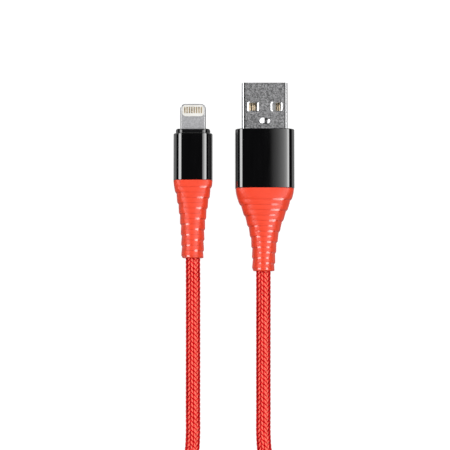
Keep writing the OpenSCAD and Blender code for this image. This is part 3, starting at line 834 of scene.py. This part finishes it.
def gloss_material():
    """Deep black lacquer. Its gloss varies a little along fine lines, as polished parts do."""
    look = Shader("gloss_black", IOR=2.3)
    where = look.object_space()
    lines = look.noise(where, 900, 3, stretch=(1.0, 0.12, 1.0))
    fine = look.noise(where, 2600, 3)
    look.set("Base Color", look.mix(lines, (0.0008, 0.0008, 0.001), (0.003, 0.003, 0.0035)))
    look.set("Roughness", look.ramp(look.math("MULTIPLY_ADD", fine, 0.5, lines), 0.4, 1.1, 0.03, 0.07))
    look.set("Normal", look.bump(fine, 0.0006 * MM))
    return look.material


# ---------------------------------------------------------------- hank tie

# The strap's outer half-size round the hank, its height under the lap and on it, and its corners' radius
STRAP_HALF, STRAP_UNDER, STRAP_OVER, STRAP_R = 8.6, 9.1, 10, 1.55
# The radius of its selvedge, and the length over which its ends narrow
SELVEDGE_R, STRAP_END = 0.3, 2.5


def strap_tie(name):
    """A woven strap round the hank's waist. It starts under its own end, and laps over it on top."""
    half, r = STRAP_HALF - STRAP_T / 2, STRAP_R
    low, high, lap = STRAP_T / 2, STRAP_UNDER - STRAP_T / 2, STRAP_OVER - STRAP_T / 2

    def corner(x, z, start):
        phi = np.radians(start) + np.linspace(0, np.pi / 2, 8)
        return [(x + r * math.cos(p), z + r * math.sin(p)) for p in phi]

    line = [(6.2, high), (3.0, high)]
    line += corner(-half + r, high - r, 90)
    line += corner(-half + r, low + r, 180)
    line += corner(half - r, low + r, 270)
    line += corner(half - r, lap - r, 0)
    line += [(2.0, lap), (-2.0, lap), (-7.0, lap)]
    line = np.array([(HANK_X + x, STRAP_Y, z) for x, z in line])
    smooth = resample(line, np.linspace(0, arc_lengths(line)[-1], 260))
    out = np.cross(unit_tangents(smooth), (0, 1, 0)) * (1, 0, 1)
    section = rounded_rectangle(STRAP_W / 2, STRAP_T / 2, SELVEDGE_R, per=5)
    along = arc_lengths(smooth)
    from_end = np.minimum(along, along[-1] - along)
    rings = []
    for point, normal, gap in zip(smooth, out, from_end):
        tip = 1 - 0.25 * (1 - min(1.0, gap / STRAP_END)) ** 2
        thin = min(1.0, 0.35 + gap / 0.5)
        across = section[:, :1] * tip * (0, 1, 0)
        rings.append(point + across + section[:, 1:] * thin * normal)
    return loft(name, rings, sharp=50)


def strap_material():
    """Black woven tape: fine warp and weft threads, with fuzz over them."""
    look = Shader("woven_strap", Specular_IOR_Level=0.2)
    where = look.object_space()
    split = look.add("SeparateXYZ", {0: where})
    wrap = look.math("ADD", split.outputs[0], split.outputs[2])
    warp = look.math("SINE", look.math("MULTIPLY", split.outputs[1], 2 * math.pi / (0.7 * MM)))
    weft = look.math("SINE", look.math("MULTIPLY", wrap, 2 * math.pi / (0.9 * MM)))
    weave = look.math("MULTIPLY_ADD", look.math("MULTIPLY", warp, weft), 0.5, 0.5)
    fuzz = look.noise(where, 4000, 4)
    level = look.math("MULTIPLY_ADD", fuzz, 0.5, look.math("MULTIPLY", weave, 0.6))
    look.set("Base Color", look.mix(level, (0.008, 0.008, 0.009), (0.035, 0.035, 0.038)))
    look.set("Roughness", look.ramp(level, 0, 1, 0.95, 0.7))
    look.set("Normal", look.bump(level, 0.12 * MM))
    return look.material


# ---------------------------------------------------------------- build: cord first

BRAID = braid_material()
RUBBER = rubber_material()
GLOSS = gloss_material()


def finish_piece(piece, material, body=None):
    """Gives a piece its material, and its body when one is given."""
    piece.data.materials.clear()
    piece.data.materials.append(material)
    if body:
        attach(piece, body)
    return piece


def build_cord():
    """The whole cord as one braided tube, with the strap round its hank."""
    line = cord_line()
    along = arc_lengths(line)
    in_view = line[:, 1] > IN_VIEW_Y
    fine_from = along[np.argmin(in_view)]
    fine_to = along[len(line) - np.argmin(in_view[::-1])]
    tube = finish_piece(braided_tube("cord_braid", line, fine_from, fine_to), BRAID, "cord")
    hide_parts("cord_usb_end", "cord_phone_end", "cord_hank")
    tie = finish_piece(strap_tie("hank_strap"), strap_material(), "cord")
    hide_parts("cord_tie")


def build_boot(prefix, x, z, seam, exit_y, lean, **shape):
    """A plug's boot and the cord's end inside it, both left without a body."""
    made = boot(prefix + "_grip_boot", (x, seam, z), seam - exit_y, lean=lean, **shape)
    finish_piece(made, RUBBER)
    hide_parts(prefix + "_boot")
    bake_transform(made)
    core_y = box_mm(prefix + "_cord_core")[1, 1]
    y = np.linspace(core_y, exit_y + INSIDE + 0.1, 60)
    line = np.stack([x + lean_at(lean, (seam - y) / (seam - exit_y)), y, np.full(60, z)], -1)
    core = finish_piece(braided_tube(prefix + "_braid_core", line), BRAID)
    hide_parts(prefix + "_cord_core")
    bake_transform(core)


build_cord()
build_boot("usb", USB_X, USB_Z, USB_SEAM, USB_EXIT, lean=USB_LEAN, half_w=7.6, half_t=3.7,
           flare_len=9.2, flare_power=1.75, first=3.0, shine_reach=0.6)
build_boot("phone", PHONE_X, PHONE_Z, PHONE_SEAM, PHONE_EXIT, lean=-0.1, half_w=5.1, half_t=2.95,
           flare_len=8.2, flare_power=1.5, first=1.85, shine_reach=0.2)

# The mouth of the USB housing lies a little behind the CAD housing's
USB_MOUTH_BACK = 0.12
usb_body = sleeve("usb_gloss_body", (USB_X, USB_Z), (7.7, 3.8, 2.4, 0.12), (6.9, 3.0, 1.6, 0.02),
                  USB_SEAM, USB_FRONT - USB_MOUTH_BACK, round_front=0.3, round_rear=0.12)
finish_piece(usb_body, GLOSS, "usb_plug")
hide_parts("usb_housing")
phone_body = sleeve("phone_gloss_body", (PHONE_X, PHONE_Z), (5.1, 3.0, 2.7, 0.012), (4.5, 2.4, 2.1, 0.01),
                    PHONE_SEAM, PHONE_FRONT, round_front=0.3, round_rear=0.12)
finish_piece(phone_body, GLOSS, "phone_plug")
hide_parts("phone_housing")


# ---------------------------------------------------------------- materials

NICKEL = nickel_material()
TIP = tip_material()
GILT = metal("gilt", (0.34, 0.27, 0.17), (0.60, 0.49, 0.34), 0.4, grain=0.0008, depth=0.001)
SPRING = metal("spring_gilt", (0.62, 0.48, 0.32), (0.98, 0.84, 0.62), 0.42, grain=0.0006, depth=0.002)
SOLDER = metal("solder", (0.45, 0.45, 0.46), (0.62, 0.62, 0.63), 0.4, grain=0.0006, depth=0.01)
TIN = metal("tin", (0.5, 0.5, 0.51), (0.66, 0.66, 0.67), 0.3, grain=0.0015, depth=0.002)
WHITE = plastic("white_plastic", (0.92, 0.92, 0.91), (0.88, 0.88, 0.87), 0.35)
CREAM = plastic("cream_plastic", (0.80, 0.79, 0.75), (0.74, 0.72, 0.67), 0.4)
BLACK = plastic("black_plastic", (0.012, 0.012, 0.013), (0.018, 0.018, 0.019), 0.4)
MOULD = plastic("mould", (0.55, 0.55, 0.52), (0.48, 0.48, 0.46), 0.5)
BOARD = plastic("board", (0.01, 0.09, 0.03), (0.015, 0.12, 0.05), 0.35)
CHIP = plastic("chip", (0.01, 0.01, 0.011), (0.02, 0.02, 0.022), 0.5)
WIRES = {
    "red": plastic("wire_red", (0.6, 0.02, 0.02), (0.5, 0.015, 0.015), 0.4),
    "white": plastic("wire_white", (0.75, 0.75, 0.73), (0.68, 0.68, 0.66), 0.4),
    "green": plastic("wire_green", (0.02, 0.3, 0.06), (0.015, 0.24, 0.05), 0.4),
    "black": plastic("wire_black", (0.012, 0.012, 0.012), (0.02, 0.02, 0.02), 0.4),
}
LACQUER = plastic("black_gloss_plastic", (0.004, 0.004, 0.0045), (0.007, 0.007, 0.008), 0.1,
                  ior=1.9, edge=0.3)


# ---------------------------------------------------------------- shell and contacts

shell_rear, shell_tip = box_mm("usb_shell")[:, 1]
shell = sleeve("usb_shell_skin", (USB_X, USB_Z), (SHELL_W / 2, SHELL_T / 2, 0.7, 0.0005),
               (SHELL_W / 2 - SHELL_WALL, SHELL_T / 2 - SHELL_WALL, 0.4, 0.0005),
               shell_rear, shell_tip, round_front=0.1, round_rear=0.02)
cutters = [window_cutter(USB_X + side * WINDOW_X, shell_tip - WINDOW_BACK) for side in (-1, 1)]
cut(shell, cutters + [dish_cutter()], sharp=12)
finish_piece(shell, NICKEL, "usb_plug")
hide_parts("usb_shell")
for i in range(1, 5):
    spring = formed_contact(f"usb_spring_{i}", f"usb_contact_{i}")
    finish_piece(spring, SPRING, "usb_plug")
    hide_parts(f"usb_contact_{i}")


# ---------------------------------------------------------------- CAD parts that keep their shape

CARRIED = {
    "usb_insulator": WHITE, "usb_collar": BLACK, "usb_inner_mould": MOULD,
    "usb_solder": SOLDER, "usb_crimp": TIN, "phone_frame": TIP, "phone_panel": CREAM,
    "phone_board": BOARD, "phone_chip_1": CHIP, "phone_chip_2": CHIP, "phone_shield": TIN,
    "phone_collar": LACQUER, "phone_inner_mould": MOULD, "phone_solder": SOLDER, "phone_crimp": TIN,
}
for i in range(1, 9):
    CARRIED[f"phone_contact_top_{i}"] = GILT
    CARRIED[f"phone_contact_bottom_{i}"] = GILT
for colour, material in WIRES.items():
    CARRIED[f"usb_wire_{colour}"] = material
    CARRIED[f"phone_wire_{colour}"] = material

for node, material in CARRIED.items():
    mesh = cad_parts[node].data
    mesh.materials.clear()
    mesh.materials.append(material)


def soften_edges(node, width):
    """Rounds a CAD node's edges in its shown mesh. The node's own mesh isn't changed."""
    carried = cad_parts[node]
    weld = carried.modifiers.new("weld", "WELD")
    weld.merge_threshold = 0.001 * MM
    bevel = carried.modifiers.new("edges", "BEVEL")
    bevel.width = width * MM
    bevel.segments = 3
    bevel.limit_method = "ANGLE"
    bevel.angle_limit = math.radians(35)
    bevel.harden_normals = True


soften_edges("phone_panel", 0.03)
soften_edges("phone_frame", 0.24)


# ---------------------------------------------------------------- studio

FLOOR_HALF = 3000
# The glow of the floor towards the camera and in reflections
FLOOR_SEEN, FLOOR_REFLECTED = 0.92, 0.38
# The glow of the world towards the camera, and of its darkest parts
WORLD_SEEN, WORLD_FILL = 0.9, 0.01

corners = [(side_x * FLOOR_HALF, side_y * FLOOR_HALF, 0)
           for side_x, side_y in ((-1, -1), (1, -1), (1, 1), (-1, 1))]
floor = new_object("floor", corners, [[0, 1, 2, 3]])
floor_shader = Shader("pale_floor", Roughness=0.9, Specular_IOR_Level=0.1, Emission_Color=(1.0, 1.0, 1.0))
cloud = floor_shader.noise(floor_shader.object_space(), 6, 2)
floor_shader.set("Base Color", floor_shader.mix(cloud, (0.21, 0.21, 0.21), (0.23, 0.23, 0.23)))
path = floor_shader.add("LightPath")
reflected = floor_shader.math("MULTIPLY", path.outputs["Is Glossy Ray"], FLOOR_REFLECTED)
glow = floor_shader.math("MULTIPLY_ADD", path.outputs["Is Camera Ray"], FLOOR_SEEN, reflected)
floor_shader.set("Emission Strength", glow)
floor.data.materials.append(floor_shader.material)

# Brightness of the two long soft panels, by angle from overhead: left is negative
PANELS = [
    (-60, 0), (-56, 1), (-30, 1), (-26, 0), (2.8, 0), (5, 0.09), (6.1, 0.16), (7, 0.28), (12, 0.42),
    (24, 0.6), (30, 1), (45, 1), (50, 0),
]
PANEL_LEVEL = 3.8


def studio_world():
    """Two long soft panels along the object, one on each side, with a dark gap overhead."""
    world = bpy.data.worlds.new("studio")
    world.use_nodes = True
    look = Nodes(world.node_tree)
    look.tree.nodes.clear()
    split = look.add("SeparateXYZ", {0: look.add("TexCoord").outputs["Generated"]})
    x, y, z = split.outputs
    angle = look.math("DEGREES", look.math("ARCTAN2", x, z))
    ramp = look.add("ValToRGB", {0: look.ramp(angle, -90, 90)})
    stops = ramp.color_ramp.elements
    while len(stops) < len(PANELS):
        stops.new(0.5)
    for stop, (degrees, level) in zip(stops, PANELS):
        stop.position = (degrees + 90) / 180
        stop.color = (level, level, level, 1)
    above = look.math("GREATER_THAN", z, 0)
    ends = look.ramp(look.math("ABSOLUTE", y), 0.62, 0.8, 1.0, 0.0)
    short = look.math("MULTIPLY", look.ramp(x, 0.0, -0.1), look.ramp(y, -0.2, -0.42))
    shape = look.math("MULTIPLY", ends, look.math("SUBTRACT", 1, short))
    panels = look.math("MULTIPLY", ramp.outputs[0], look.math("MULTIPLY", above, shape))
    studio = look.math("MULTIPLY_ADD", panels, PANEL_LEVEL, WORLD_FILL)
    seen = look.add("LightPath").outputs["Is Camera Ray"]
    level = look.math("ADD", look.math("MULTIPLY", seen, WORLD_SEEN), studio)
    background = look.add("Background", {"Color": (1.0, 1.0, 1.0, 1.0), "Strength": level})
    look.tree.links.new(background.outputs[0], look.add("OutputWorld").inputs[0])
    bpy.context.scene.world = world


studio_world()
